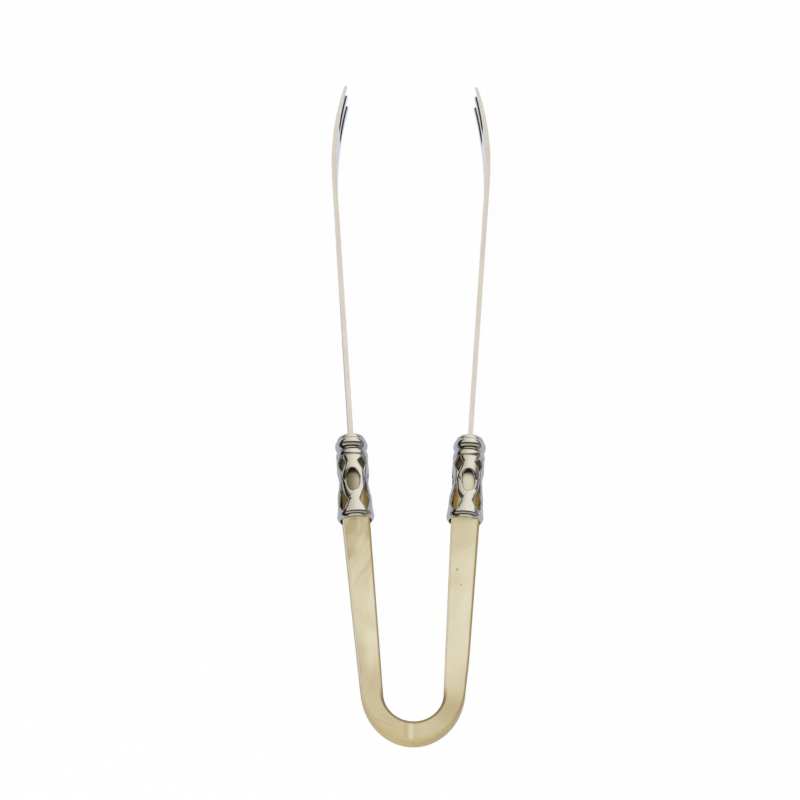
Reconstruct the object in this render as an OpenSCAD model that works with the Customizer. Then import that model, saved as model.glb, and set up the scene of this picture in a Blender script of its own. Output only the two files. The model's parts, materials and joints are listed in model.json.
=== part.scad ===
// Serving tongs: a U-shaped pearl acrylic handle, two pierced silver ferrules
// and two flat steel arms that end in three-tined forks.
// The tongs lie on their side: +Y runs from the bend of the handle to the fork
// tips, X runs across the jaws and Z is up. The origin is on the surface that the
// tongs lie on, midway along and midway between the arms.

/* [Handle] */
// Depth of the acrylic bar, along Z
handle_depth = 8.2; // [7.6:0.1:8.6]
// Inner radius of the bend
bend_inner_r = 10.75; // [8:0.25:14]
// Width of the bar at the bottom of the bend
bend_bottom_w = 7.4; // [6.6:0.1:7.8]
// Width of the bar where the bend meets the limbs
bend_side_w = 8; // [7.4:0.1:8.4]
// Length of the bend's outer round, as a multiple of its half width
bend_stretch = 1.18; // [1:0.02:1.24]
// Outward lean of the limbs, in degrees
limb_lean = 4; // [3.6:0.1:5]
// Angle by which the handle was bent to the right of the jaws, in degrees
limb_skew = 0.95; // [0:0.05:1.2]
// Angle by which each side of a limb widens towards the ferrule, in degrees
limb_taper = 0.85; // [0.6:0.05:0.95]
// Length of a limb from the bend to the ferrule
limb_len = 66.6; // [55:0.2:75]
// Eased edge along the bar
handle_edge = 1.1; // [0.9:0.1:1.5]
// Space between the dressed end of a limb and the plug of the cap
spigot_space = 0.5; // [0.4:0.1:2]
// Length of the rounded nose on the end of a limb
nose_len = 9; // [7:0.5:10]

/* [Flex of the bend] */
// Gap round the flexing line between the bend and a limb
flex_gap = 0.08; // [0.05:0.01:0.1]
// How far the bend stops short of the flexing line at its two faces
flex_step = 1.4; // [1.2:0.1:2]

/* [Sleeve] */
// Length of the sleeve from its rim to the cap
sleeve_len = 26.5; // [23:0.1:30]
// Outer radius of the sleeve just above its rim
sleeve_base_r = 6.3; // [6.2:0.05:6.5]
// Outer radius of the sleeve below its collar
sleeve_top_r = 5.6; // [5.5:0.05:5.8]
// Wall of the sleeve
sleeve_wall = 0.75; // [0.65:0.05:0.8]
// Height of the collar, from the straps to the cap
collar_len = 3.2; // [3:0.05:3.5]
// Outer radius of the collar
collar_out_r = 5.68; // [5.6:0.02:5.8]
// Radius of the collar's rounded section
collar_round_r = 2; // [1.9:0.05:2.4]
// Radius of the hole through the collar
collar_bore_r = 4.55; // [4.3:0.05:4.6]
// Height of the middle of the rim bead
rim_bead_h = 0.42; // [0.4:0.02:0.5]
// Radius of the rim bead's section
rim_bead_r = 0.38; // [0.34:0.02:0.4]
// Height of the middle of the band above the rim bead
foot_band_h = 1.6; // [1.4:0.05:1.8]
// Radius of the section of the band above the rim bead
foot_band_r = 0.65; // [0.55:0.05:0.75]
// Depth of the grooves beside the rim's mouldings
groove = 0.3; // [0.2:0.05:0.35]

/* [Piercing] */
// Width of an eye
eye_w = 5.2; // [4.4:0.1:5.6]
// Length of an eye
eye_len = 9; // [8:0.2:9.6]
// Height of the middle of an eye
eye_h = 14.4; // [13.8:0.1:14.8]
// Width of a lower opening
low_w = 4.2; // [3:0.1:4.4]
// Height of the foot of a lower opening above the rim
low_foot_h = 3.4; // [3.2:0.1:4]
// Height of the widest place of a lower opening above the rim
low_wide_h = 7.3; // [6.6:0.1:7.8]
// Height of the tip of a lower opening above the rim
low_tip_h = 9.9; // [9.4:0.1:10.4]
// Width of an upper opening
high_w = 3; // [2:0.1:3.2]
// Depth of the top of an upper opening below the collar
high_top_drop = 1.2; // [1:0.1:1.6]
// Depth of the widest place of an upper opening below the collar
high_wide_drop = 2.5; // [2.1:0.1:3]
// Length of an upper opening
high_len = 5.9; // [4.5:0.1:6.5]

/* [Cap] */
// Height of the cap above the sleeve
cap_h = 6.1; // [5.4:0.1:6.8]
// Height of the middle of the cap's bead above the sleeve
cap_bead_h = 2.25; // [2:0.05:2.5]
// Outer radius of the cap's bead
cap_bead_out_r = 5.8; // [5.6:0.05:6]
// Radius of the cap bead's section
cap_bead_r = 3; // [2.8:0.05:3.4]
// Radius of the flat crown round the arm
crown_r = 3.6; // [3.4:0.1:4]
// Depth of the plug that fills the collar
plug_depth = 6.8; // [6:0.1:7.4]

/* [Arm and fork] */
// Thickness of the steel strip
strip_t = 1.7; // [1.4:0.1:2]
// Width of the arm
arm_w = 7; // [6:0.2:7.4]
// Outward lean of each ferrule and arm, in degrees
arm_lean = 3.5; // [3:0.1:4]
// Straight length of the arm above the cap
arm_len = 95.4; // [80:0.2:110]
// Radius to which the outer face of the fork curves inwards
fork_curve_r = 104; // [85:1:140]
// Length of the curved fork, along the arm
fork_len = 36.8; // [32:0.2:42]
// Distance between the middles of two tines
tine_pitch = 9.7; // [8.6:0.1:10.4]
// Width of a tine at its root
tine_w = 3.6; // [3:0.1:3.8]
// Width of a tine at its tip
tine_tip_w = 2; // [1.6:0.1:2.4]
// Length of a tine
tine_len = 15; // [12:0.5:18]
// Plain length of the head below the tines
head_len = 3; // [2:0.5:5]
// Length over which the arm widens to the head
flare_len = 50; // [36:1:56]
// Thickness of a tine at its tip
tip_t = 0.9; // [0.7:0.1:1.2]

/* [Tang and pin] */
// Width of the tang inside the limb
tang_w = 5; // [4:0.2:5.2]
// Height of the end of the tang above the sleeve's rim
tang_end_h = 3.5; // [3:0.1:4.5]
// Gap between the shoulders of the tang and the limb's end
tang_seat_gap = 0.3; // [0.2:0.05:0.5]
// Radius of the cross pin
pin_r = 1; // [0.8:0.05:1.2]
// Height of the cross pin above the sleeve's rim
pin_h = 7.3; // [6.9:0.1:7.8]
// How far each end of the pin lies below the side of the limb
pin_recess = 0.4; // [0.3:0.05:0.6]

/* [Fits] */
// Gap between the limb's end and the sleeve
sleeve_gap = 0.06; // [0.04:0.01:0.1]
// Gap between the cap's plug and the collar
plug_gap = 0.04; // [0.02:0.01:0.08]
// Gap between the strip and its slots
slot_gap = 0.05; // [0.03:0.01:0.1]
// Gap between the pin and its holes
pin_gap = 0.02; // [0.01:0.01:0.05]

/* [Hidden] */
$fn = 96;
LEFT = -1;
RIGHT = 1;
acrylic = "#d8cca5";
silver = "#c8c8cc";
steel = "#d9d5cb";

// A little extra length for cuts that pass right through
through = 1;

// The bend: the outer and inner rounds have their own middles, so that the bar
// is thinnest at the bottom
outer_rx = bend_inner_r + bend_side_w;
outer_ry = outer_rx * bend_stretch;
inner_mid_y = bend_bottom_w + bend_inner_r;

// Where the straight sides of a limb leave the two rounds
outer_turn = atan2(outer_rx, outer_ry * tan(limb_lean + limb_taper));
inner_turn = 90 - limb_lean + limb_taper;
outer_start = [outer_rx * sin(outer_turn), outer_ry * (1 - cos(outer_turn))];
inner_start = [bend_inner_r * sin(inner_turn), inner_mid_y - bend_inner_r * cos(inner_turn)];
flex_mid = (outer_start + inner_start) / 2;
limb_half_w = ((outer_start[0] - inner_start[0]) * cos(limb_lean)
               - (outer_start[1] - inner_start[1]) * sin(limb_lean)) / 2;

// How far the bend lies to the right, when the ferrules are equally far to each side
bend_x = limb_len * cos(limb_lean) * sin(limb_skew);

// Heights along a ferrule and its arm, measured from the sleeve's rim
collar_h = sleeve_len - collar_len;
plug_r = collar_bore_r - plug_gap;
spigot_len = sleeve_len - plug_depth - spigot_space;
nose_h = spigot_len - nose_len;
high_top_h = collar_h - high_top_drop;
high_wide_h = collar_h - high_wide_drop;
high_foot_h = high_top_h - high_len;
shoulder_h = spigot_len + tang_seat_gap;
crown_h = sleeve_len + cap_h;
curve_h = crown_h + arm_len;
tip_h = curve_h + fork_len;
root_h = tip_h - tine_len;
head_h = root_h - head_len;

// Half widths of a limb at its two ends, and half the length of the pin through it
limb_end_half_w = limb_half_w + (limb_len + spigot_len) * tan(limb_taper);
pin_half_len = limb_half_w + (limb_len + pin_h) * tan(limb_taper) - pin_recess;

// The fork's width sets how high the middle plane lies
head_half_w = tine_pitch + tine_w / 2;
slot_r = (tine_pitch - tine_w) / 2;

// The inner face of the fork curves less than the outer one, so that the strip
// thins towards the tips
inner_curve_r = 1 / (1 / fork_curve_r - 2 * (strip_t - tip_t) / (fork_len * fork_len));

// Overall length, from the bottom of the bend to the inner corner of a tine's tip
tip_in = strip_t / 2 + inner_curve_r - sqrt(pow(inner_curve_r, 2) - pow(fork_len, 2));
total_len = flex_mid[1] + limb_len * cos(limb_lean - limb_skew) + tip_h * cos(arm_lean)
            + tip_in * sin(arm_lean);

// Radius of the sleeve's outside and bore at a height above the rim
function sleeve_r(h) = sleeve_base_r + (sleeve_top_r - sleeve_base_r) * h / collar_h;
function bore_r(h) = sleeve_r(h) - sleeve_wall;

// Width of the arm between the plain strip and the head, as a smooth flare
function flare(t) = arm_w / 2 + (head_half_w - arm_w / 2) * t * t * (3 - 2 * t);
FLARE_STEPS = 12;

// Lean of one limb: the left one leans more, as the bend lies to the right
function lean_of(side) = limb_lean - side * limb_skew;

// Frame of one limb: the flexing line at the origin, +Y along the limb, +X outwards
module limb_frame(side)
{
    mirror([side == LEFT ? 1 : 0, 0, 0])
        translate([flex_mid[0] + side * bend_x, flex_mid[1] - total_len / 2, head_half_w])
            rotate([0, 0, -lean_of(side)])
                children();
}

// Frame of one arm: the middle of the sleeve's rim at the origin, +Y along the arm
module arm_frame(side)
{
    limb_frame(side)
        translate([0, limb_len, 0])
            rotate([0, 0, lean_of(side) - arm_lean])
                children();
}

// Frame of one ferrule: its rim at the origin, +Z along the arm
module ferrule_frame(side)
{
    arm_frame(side)
        rotate([-90, 0, 0])
            children();
}

// A disc with eased edges, for the outside of the bend. Its ends stand proud of the sheet
module eased_disc(r)
{
    rotate_extrude()
        polygon([[0, -handle_depth / 2 - through],
                 [r - handle_edge - through, -handle_depth / 2 - through],
                 [r, handle_edge - handle_depth / 2],
                 [r, handle_depth / 2 - handle_edge],
                 [r - handle_edge - through, handle_depth / 2 + through],
                 [0, handle_depth / 2 + through]]);
}

// A hole that eases its own edges, for the inside of the bend
module eased_hole(r)
{
    rotate_extrude()
        polygon([[0, -handle_depth / 2 - through],
                 [r + handle_edge + through, -handle_depth / 2 - through],
                 [r, handle_edge - handle_depth / 2],
                 [r, handle_depth / 2 - handle_edge],
                 [r + handle_edge + through, handle_depth / 2 + through],
                 [0, handle_depth / 2 + through]]);
}

// Everything below the two flexing lines, as a roof-shaped plate of the sheet's thickness
module below_flex()
{
    ridge_y = flex_mid[1] - flex_step / cos(limb_lean) + flex_mid[0] * tan(limb_lean);
    reach = 2 * outer_rx;
    eave_y = ridge_y - reach * tan(limb_lean);
    linear_extrude(handle_depth, center = true)
        polygon([[-reach, -through], [reach, -through], [reach, eave_y],
                 [0, ridge_y], [-reach, eave_y]]);
}

// The bend of the handle, with a round seat for each limb
module handle_bend()
{
    color(acrylic)
        difference()
        {
            translate([bend_x, -total_len / 2, head_half_w])
                intersection()
                {
                    difference()
                    {
                        translate([0, outer_ry, 0])
                            scale([1, bend_stretch, 1])
                                eased_disc(outer_rx);
                        translate([0, inner_mid_y, 0])
                            eased_hole(bend_inner_r);
                    }
                    below_flex();
                }
            for (side = [LEFT, RIGHT])
                limb_frame(side)
                    cylinder(r = limb_half_w + flex_gap, h = handle_depth + 2 * through, center = true);
        }
}

// The plain bar of a limb, with its round foot and eased edges
module limb_bar()
{
    bar_len = limb_len + spigot_len;
    ease = handle_edge * sqrt(2);
    difference()
    {
        linear_extrude(handle_depth, center = true)
        {
            circle(limb_half_w);
            polygon([[-limb_half_w, 0], [limb_half_w, 0],
                     [limb_end_half_w, bar_len], [-limb_end_half_w, bar_len]]);
        }
        for (x = [-1, 1], z = [-1, 1])
            translate([x * limb_half_w, 0, z * handle_depth / 2])
                rotate([0, 0, -x * limb_taper])
                    translate([0, bar_len / 2, 0])
                        rotate([0, 45, 0])
                            cube([ease, bar_len + 2 * limb_half_w, ease], center = true);
    }
}

// The round envelope that a limb's end is dressed to, so that it fits the sleeve
module spigot_envelope()
{
    nose_r = bore_r(nose_h) - sleeve_gap;
    rotate_extrude()
        polygon([[0, -sleeve_gap], [bore_r(-sleeve_gap) - sleeve_gap, -sleeve_gap],
                 for (a = [0:10:90]) [nose_r * cos(a), nose_h + nose_len * sin(a)]]);
}

// One limb of the handle, slotted for the tang and drilled for the pin
module limb(side)
{
    color(acrylic)
        difference()
        {
            limb_frame(side)
                limb_bar();
            ferrule_frame(side)
                difference()
                {
                    translate([0, 0, -sleeve_gap])
                        cylinder(r = 2 * limb_end_half_w, h = spigot_len + 2 * through);
                    spigot_envelope();
                }
            ferrule_frame(side)
                translate([-strip_t / 2 - slot_gap, -tang_w / 2 - slot_gap, tang_end_h - slot_gap])
                    cube([strip_t + 2 * slot_gap, tang_w + 2 * slot_gap, spigot_len]);
            ferrule_frame(side)
                translate([0, 0, pin_h])
                    rotate([0, 90, 0])
                        cylinder(r = pin_r + pin_gap, h = 4 * limb_end_half_w, center = true);
        }
}
module left_limb() { limb(LEFT); }
module right_limb() { limb(RIGHT); }

// Turned outside and bore of a sleeve, before it is pierced
module sleeve_blank()
{
    foot_h = foot_band_h + foot_band_r;
    ring_mid = [collar_out_r - collar_round_r, sleeve_len - collar_len / 2];
    ring_turn = asin(collar_len / 2 / collar_round_r);
    rotate_extrude()
        difference()
        {
            union()
            {
                polygon([[0, 0], [sleeve_base_r - groove, 0],
                         [sleeve_base_r - groove, foot_h],
                         [sleeve_r(foot_h + groove), foot_h + groove],
                         [sleeve_r(collar_h - groove), collar_h - groove],
                         [sleeve_top_r - groove, collar_h],
                         for (t = [-0.6:0.2:1])
                             ring_mid + collar_round_r * [cos(t * ring_turn), sin(t * ring_turn)],
                         [0, sleeve_len]]);
                translate([sleeve_base_r + groove / 2 - rim_bead_r, rim_bead_h])
                    circle(rim_bead_r);
                translate([sleeve_base_r + groove - foot_band_r, foot_band_h])
                    circle(foot_band_r);
            }
            polygon([[0, -through], [bore_r(-through), -through],
                     [bore_r(collar_h - sleeve_wall), collar_h - sleeve_wall],
                     [collar_bore_r, collar_h - sleeve_wall],
                     [collar_bore_r, sleeve_len + through],
                     [0, sleeve_len + through]]);
        }
}

// An eye: two crossing rounds with blunted tips
module eye_outline()
{
    half_l = eye_len / 2;
    half_w = eye_w / 2;
    side_r = (half_l * half_l + half_w * half_w) / (2 * half_w);
    blunt = 0.35;
    intersection()
    {
        translate([side_r - half_w, 0])
            circle(side_r);
        translate([half_w - side_r, 0])
            circle(side_r);
        circle(half_l - blunt);
    }
}

// One pair of facing cuts through both walls of a sleeve
module pierce(turn)
{
    rotate([0, 0, turn])
        rotate([90, 0, 0])
            linear_extrude(4 * sleeve_base_r, center = true)
                children();
}

// A pierced sleeve: four eyes, with an opening above and below each gap between
module sleeve(side)
{
    color(silver)
        ferrule_frame(side)
            difference()
            {
                sleeve_blank();
                for (turn = [0, 90])
                {
                    pierce(turn)
                        translate([0, eye_h])
                            eye_outline();
                    pierce(turn + 45)
                        polygon([[0, low_foot_h], [low_w / 2, low_wide_h],
                                 [0, low_tip_h], [-low_w / 2, low_wide_h]]);
                    pierce(turn + 45)
                        polygon([[0, high_foot_h], [high_w / 2, high_wide_h],
                                 [high_w / 3, high_top_h], [-high_w / 3, high_top_h],
                                 [-high_w / 2, high_wide_h]]);
                }
            }
}
module left_sleeve() { sleeve(LEFT); }
module right_sleeve() { sleeve(RIGHT); }

// Turned outside of a cap: a low dome over a bold bead, on a long round plug
module cap_blank()
{
    bead_mid_r = cap_bead_out_r - cap_bead_r;
    bead_turn = asin(cap_bead_h / cap_bead_r);
    dome_h = 2 * cap_bead_h;
    dome_r = bead_mid_r + cap_bead_r * cos(bead_turn);
    rotate_extrude()
        polygon([[0, 0],
                 for (t = [-1:0.125:1])
                     [bead_mid_r + cap_bead_r * cos(t * bead_turn),
                      cap_bead_h + cap_bead_r * sin(t * bead_turn)],
                 for (a = [10:10:90])
                     [crown_r + (dome_r - crown_r) * cos(a), dome_h + (cap_h - dome_h) * sin(a)],
                 [0, cap_h]]);
    translate([0, 0, -plug_depth])
        cylinder(r = plug_r, h = plug_depth + cap_bead_h);
}

// A cap, slotted right through for the strip
module cap(side)
{
    slot_len = 4 * cap_h + 4 * plug_depth;
    color(silver)
        ferrule_frame(side)
            translate([0, 0, sleeve_len])
                difference()
                {
                    cap_blank();
                    cube([strip_t + 2 * slot_gap, arm_w + 2 * slot_gap, slot_len], center = true);
                }
}
module left_cap() { cap(LEFT); }
module right_cap() { cap(RIGHT); }

// The strip seen on its edge: straight along the arm, then curving inwards
module strip_edge()
{
    depth = 2 * head_half_w + 2 * through;
    linear_extrude(depth, center = true)
        translate([-strip_t / 2, tang_end_h])
            square([strip_t, curve_h - tang_end_h]);
    intersection()
    {
        translate([strip_t / 2 - fork_curve_r, curve_h, 0])
            cylinder(r = fork_curve_r, h = depth, center = true);
        difference()
        {
            translate([-fork_len, curve_h - through, -depth / 2])
                cube([fork_len + strip_t, fork_len + 2 * through, depth]);
            translate([-strip_t / 2 - inner_curve_r, curve_h, 0])
                cylinder(r = inner_curve_r, h = 2 * depth, center = true);
        }
    }
}

// Carries an outline drawn on the strip's face right through its thickness
module across_strip()
{
    rotate(120, [1, 1, 1])
        linear_extrude(2 * fork_len, center = true)
            children();
}

// The strip seen on its face: tang, arm, flare, head and three tines
module strip_face()
{
    flare_h = head_h - flare_len;
    slot_h = root_h + slot_r;
    tip_r = tine_tip_w / 2;
    taper_len = tip_h - tip_r - slot_h;
    across_strip()
        translate([tang_end_h, -tang_w / 2])
            square([shoulder_h - tang_end_h + through, tang_w]);
    difference()
    {
        across_strip()
            polygon([[shoulder_h, arm_w / 2],
                     for (i = [0:FLARE_STEPS])
                         [flare_h + flare_len * i / FLARE_STEPS, flare(i / FLARE_STEPS)],
                     [slot_h, head_half_w], [slot_h, -head_half_w],
                     for (i = [FLARE_STEPS:-1:0])
                         [flare_h + flare_len * i / FLARE_STEPS, -flare(i / FLARE_STEPS)],
                     [shoulder_h, -arm_w / 2]]);
        for (z = [-1, 1])
            across_strip()
                translate([slot_h, z * tine_pitch / 2])
                    circle(slot_r);
    }
    for (i = [-1:1])
    {
        across_strip()
            translate([slot_h, i * tine_pitch])
                polygon([[-slot_r, -tine_w / 2], [0, -tine_w / 2], [taper_len, -tip_r],
                         [taper_len, tip_r], [0, tine_w / 2], [-slot_r, tine_w / 2]]);
        across_strip()
            translate([slot_h + taper_len, i * tine_pitch])
                circle(tip_r);
    }
}

// An arm and its fork, in one piece of strip, drilled for the pin
module fork(side)
{
    color(steel)
        difference()
        {
            arm_frame(side)
                intersection()
                {
                    strip_edge();
                    strip_face();
                }
            ferrule_frame(side)
                translate([0, 0, pin_h])
                    rotate([0, 90, 0])
                        cylinder(r = pin_r + pin_gap, h = 4 * strip_t, center = true);
        }
}
module left_fork() { fork(LEFT); }
module right_fork() { fork(RIGHT); }

// The pin that locks a tang in its limb
module tang_pin(side)
{
    color(steel)
        ferrule_frame(side)
            translate([0, 0, pin_h])
                rotate([0, 90, 0])
                    cylinder(r = pin_r, h = 2 * pin_half_len, center = true);
}
module left_tang_pin() { tang_pin(LEFT); }
module right_tang_pin() { tang_pin(RIGHT); }

handle_bend();
left_limb();
right_limb();
left_sleeve();
right_sleeve();
left_cap();
right_cap();
left_fork();
right_fork();
left_tang_pin();
right_tang_pin();
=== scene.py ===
import json
import math

import bmesh
import bpy
from mathutils import Matrix, Vector


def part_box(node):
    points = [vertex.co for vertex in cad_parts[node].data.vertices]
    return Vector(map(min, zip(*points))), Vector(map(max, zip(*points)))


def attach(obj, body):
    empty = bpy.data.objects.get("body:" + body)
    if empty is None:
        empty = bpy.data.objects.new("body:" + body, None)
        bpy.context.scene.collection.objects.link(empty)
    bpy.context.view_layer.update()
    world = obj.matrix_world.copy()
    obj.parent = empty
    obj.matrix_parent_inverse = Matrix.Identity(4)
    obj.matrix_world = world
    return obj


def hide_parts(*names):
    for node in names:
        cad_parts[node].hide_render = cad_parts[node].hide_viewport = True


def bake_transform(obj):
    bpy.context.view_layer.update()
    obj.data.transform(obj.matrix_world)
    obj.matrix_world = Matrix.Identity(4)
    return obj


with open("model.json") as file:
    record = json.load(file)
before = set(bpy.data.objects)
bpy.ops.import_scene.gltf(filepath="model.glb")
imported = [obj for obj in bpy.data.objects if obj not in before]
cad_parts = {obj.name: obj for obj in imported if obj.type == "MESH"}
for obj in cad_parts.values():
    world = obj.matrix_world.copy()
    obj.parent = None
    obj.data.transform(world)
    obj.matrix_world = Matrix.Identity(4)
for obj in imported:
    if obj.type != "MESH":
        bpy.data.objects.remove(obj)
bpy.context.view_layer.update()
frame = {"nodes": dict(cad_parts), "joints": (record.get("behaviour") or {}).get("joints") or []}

# Handle
# One bar of cream pearl acrylic, cut from thick sheet, polished, and bent hot into a
# springy U. Each end is dressed round and goes up inside a ferrule. The bar is modelled
# in two halves that meet at the bottom of the bend.
MM = 0.001
SIDES = {"left": -1, "right": 1}
LIMB_LEAN = math.radians(4.0)
LIMB_SKEW = math.radians(0.95)
LIMB_TAPER = math.radians(0.85)
ARM_LEAN = math.radians(3.5)
BEND_INNER_R = 10.75
BEND_OUTER_RX = 18.75
BEND_OUTER_RY = 22.125
BEND_BOTTOM_W = 7.4
BAR_W = 8.4
EDGE_R = 1.1
EDGE_SEGMENTS = 6
EDGE_SUPPORT = 0.12
# Where the front is cut lengthwise, in shares of its half width, with its brink past the second cut
BRINK = 0.8
FACE_CUTS = (-1, -BRINK, -0.4, 0, 0.4, BRINK, 1)
LIMB_LEN = 66.6
LIMB_SWELL = {-1: 0.0, 1: 0.45}
SWELL_FOOT = 16.0
SPIGOT_LEN = 19.2
NOSE_LEN = 9.0
NOSE_BLUNT = 2.6
SPIGOT_GAP = 0.12
SLEEVE_BASE_R = 6.3
SLEEVE_TOP_R = 5.6
SLEEVE_WALL = 0.75
COLLAR_H = 23.3
BEND_RINGS = 48
LIMB_RINGS = 24
SPIGOT_RINGS = 6
NOSE_RINGS = 12
SEAM_STEP = 0.001
WELD = 0.002

hinges = {joint["child"]: Vector(joint["pos_m"]) / MM for joint in frame["joints"]}
flex = {side: hinges[f"{name}_arm"] for name, side in SIDES.items()}
bend_x = (flex[-1].x + flex[1].x) / 2
bend_low, bend_high = (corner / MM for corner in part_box("handle_bend"))
bar_depth = bend_high.z - bend_low.z
outer_end = math.atan2(BEND_OUTER_RX, BEND_OUTER_RY * math.tan(LIMB_LEAN + LIMB_TAPER))
inner_end = math.pi / 2 - LIMB_LEAN + LIMB_TAPER


def smooth(t):
    """A smooth step from 0 to 1, level at both ends and past them."""
    t = min(max(t, 0), 1)
    return t * t * (3 - 2 * t)


def leaned(start, side, lean, out, along, up):
    """A place out from a line that leans away from the middle, along it and up."""
    x = start.x + side * (out * math.cos(lean) + along * math.sin(lean))
    y = start.y - out * math.sin(lean) + along * math.cos(lean)
    return Vector((x, y, start.z + up))


def limb_frame(side, out, along, up):
    """A place given in the frame of one limb, from its flexing line."""
    return leaned(flex[side], side, LIMB_LEAN - side * LIMB_SKEW, out, along, up)


def arm_point(side, out, height, up):
    """A place given in the frame of one arm, from the middle of its ferrule's rim."""
    return leaned(limb_frame(side, 0, LIMB_LEN, 0), side, ARM_LEAN, out, height, up)


def bend_point(side, turn, across, up):
    """A place in the bend: turn runs from its bottom to the limb, across from inside to outside."""
    outer, inner, share = turn * outer_end, turn * inner_end, (across + 1) / 2
    x = share * BEND_OUTER_RX * math.sin(outer) + (1 - share) * BEND_INNER_R * math.sin(inner)
    rise = share * BEND_OUTER_RY * (1 - math.cos(outer))
    rise += (1 - share) * (BEND_BOTTOM_W + BEND_INNER_R * (1 - math.cos(inner)))
    return Vector((bend_x + side * x, bend_low.y + rise, flex[side].z + up))


limb_w = bend_point(1, 1, 1, 0) - bend_point(1, 1, -1, 0)
limb_half_w = (limb_w.x * math.cos(LIMB_LEAN) - limb_w.y * math.sin(LIMB_LEAN)) / 2
nose_h = SPIGOT_LEN - NOSE_LEN


def sleeve_r(height):
    """Outer radius of a ferrule's sleeve at a height above its rim."""
    return SLEEVE_BASE_R + (SLEEVE_TOP_R - SLEEVE_BASE_R) * height / COLLAR_H


def spigot_r(height):
    """Radius that the end of a limb is dressed to inside the sleeve, with a round nose."""
    reach = sleeve_r(min(height, nose_h)) - SLEEVE_WALL - SPIGOT_GAP
    return reach * max(1 - (max(height - nose_h, 0) / NOSE_LEN) ** NOSE_BLUNT, 0) ** (1 / NOSE_BLUNT)


def limb_out(along, across):
    """How far out a share of a limb's half width lies, at a distance along the limb."""
    return across * (limb_half_w + along * math.tan(LIMB_TAPER))


def limb_point(side, along, across, up):
    """A place in a limb, the right one a little fuller outside. Its end is kept inside the bore."""
    out = limb_out(along, across) + max(across, 0) * LIMB_SWELL[side] * smooth(along / SWELL_FOOT)
    if along <= LIMB_LEN:
        return limb_frame(side, out, along, up)
    keep = min(1, spigot_r(along - LIMB_LEN) / math.hypot(out, up))
    return arm_point(side, out * keep, along - LIMB_LEN, up * keep)


turns = [0, SEAM_STEP] + [i / BEND_RINGS for i in range(1, BEND_RINGS + 1)]
alongs = [LIMB_LEN * i / LIMB_RINGS for i in range(1, LIMB_RINGS + 1)]
alongs += [LIMB_LEN + SPIGOT_GAP + (nose_h - SPIGOT_GAP) * i / SPIGOT_RINGS
           for i in range(SPIGOT_RINGS + 1)]
alongs += [LIMB_LEN + nose_h + NOSE_LEN * math.sin(math.pi / 2 * i / NOSE_RINGS)
           for i in range(1, NOSE_RINGS + 1)]


def lengthwise(bm):
    """The edges that run along the bar, which still lies along Y with its rings 1 apart."""
    return [edge for edge in bm.edges if abs(edge.verts[0].co.y - edge.verts[1].co.y) > 0.5]


def handle_half(side):
    """Half of the bar: a long box with rounded edges, ringed along its length, then bent.

    It is marked for its material: its cut sides, which way each edge faces for the painted light
    and shade on it, the round of the hidden end, and the brink of the front that faces the other limb."""
    bm = bmesh.new()
    rings = len(turns) + len(alongs) - 1
    box = Matrix.Translation((0, rings / 2, 0)) @ Matrix.Diagonal((BAR_W, rings, bar_depth, 1))
    bmesh.ops.create_cube(bm, size=1, matrix=box)
    bmesh.ops.bevel(bm, geom=lengthwise(bm), offset=EDGE_R, offset_type="OFFSET", segments=EDGE_SEGMENTS,
                    profile=0.5, affect="EDGES", material=-1)
    flat = BAR_W / 2 - EDGE_R - EDGE_SUPPORT
    cuts = [((1, 0, 0), share * flat) for share in FACE_CUTS]
    cuts += [((0, 0, 1), share * (bar_depth / 2 - EDGE_R - EDGE_SUPPORT)) for share in (-1, 1)]
    for normal, reach in cuts:
        bmesh.ops.bisect_plane(bm, geom=bm.verts[:] + bm.edges[:] + bm.faces[:], plane_no=normal,
                               plane_co=Vector(normal) * reach)
    bmesh.ops.subdivide_edges(bm, edges=lengthwise(bm), cuts=rings - 1, use_grid_fill=True)
    cut, facing_shade, sunk, brink = (bm.verts.layers.float.new(name) for name in ("cut", "facing_shade", "sunk", "brink"))
    for vert in bm.verts:
        ring, across = round(vert.co.y), vert.co.x / (BAR_W / 2)
        vert[brink] = min(max((-vert.co.x - BRINK * flat) / (flat + EDGE_SUPPORT - BRINK * flat), 0), 1)
        vert[cut] = 1 - max(0, (abs(vert.co.z) - bar_depth / 2 + EDGE_R) / EDGE_R)
        turn = math.pi / 2 * (turns[ring] if ring < len(turns) else 1)
        facing = math.copysign(1, across)
        # Which way the side faces, for painted light and shade: 0 to the left, a half down, 1 to the right
        # or into the bend
        vert[facing_shade] = 0.5 + 0.5 * facing * side * math.sin(turn) ** 4 + 0.5 * max(-facing * math.cos(turn), 0)
        if ring < len(turns):
            vert.co = bend_point(side, turns[ring], across, vert.co.z)
            continue
        along = alongs[ring - len(turns)]
        if along > LIMB_LEN:
            vert[sunk] = abs(math.atan2(limb_out(along, across), vert.co.z))
        vert.co = limb_point(side, along, across, vert.co.z)
    return bm


def piece(name, bm, material, crease=40):
    """Closes a mesh, turns it outwards, takes it to metres and makes it an object."""
    bmesh.ops.remove_doubles(bm, verts=bm.verts, dist=WELD)
    bmesh.ops.recalc_face_normals(bm, faces=bm.faces)
    bmesh.ops.scale(bm, vec=(MM, MM, MM), verts=bm.verts)
    for face in bm.faces:
        face.smooth = True
    mesh = bpy.data.meshes.new(name)
    bm.to_mesh(mesh)
    bm.free()
    mesh.set_sharp_from_angle(angle=math.radians(crease))
    mesh.materials.append(material)
    obj = bpy.data.objects.new(name, mesh)
    bpy.context.collection.objects.link(obj)
    return obj


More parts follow.
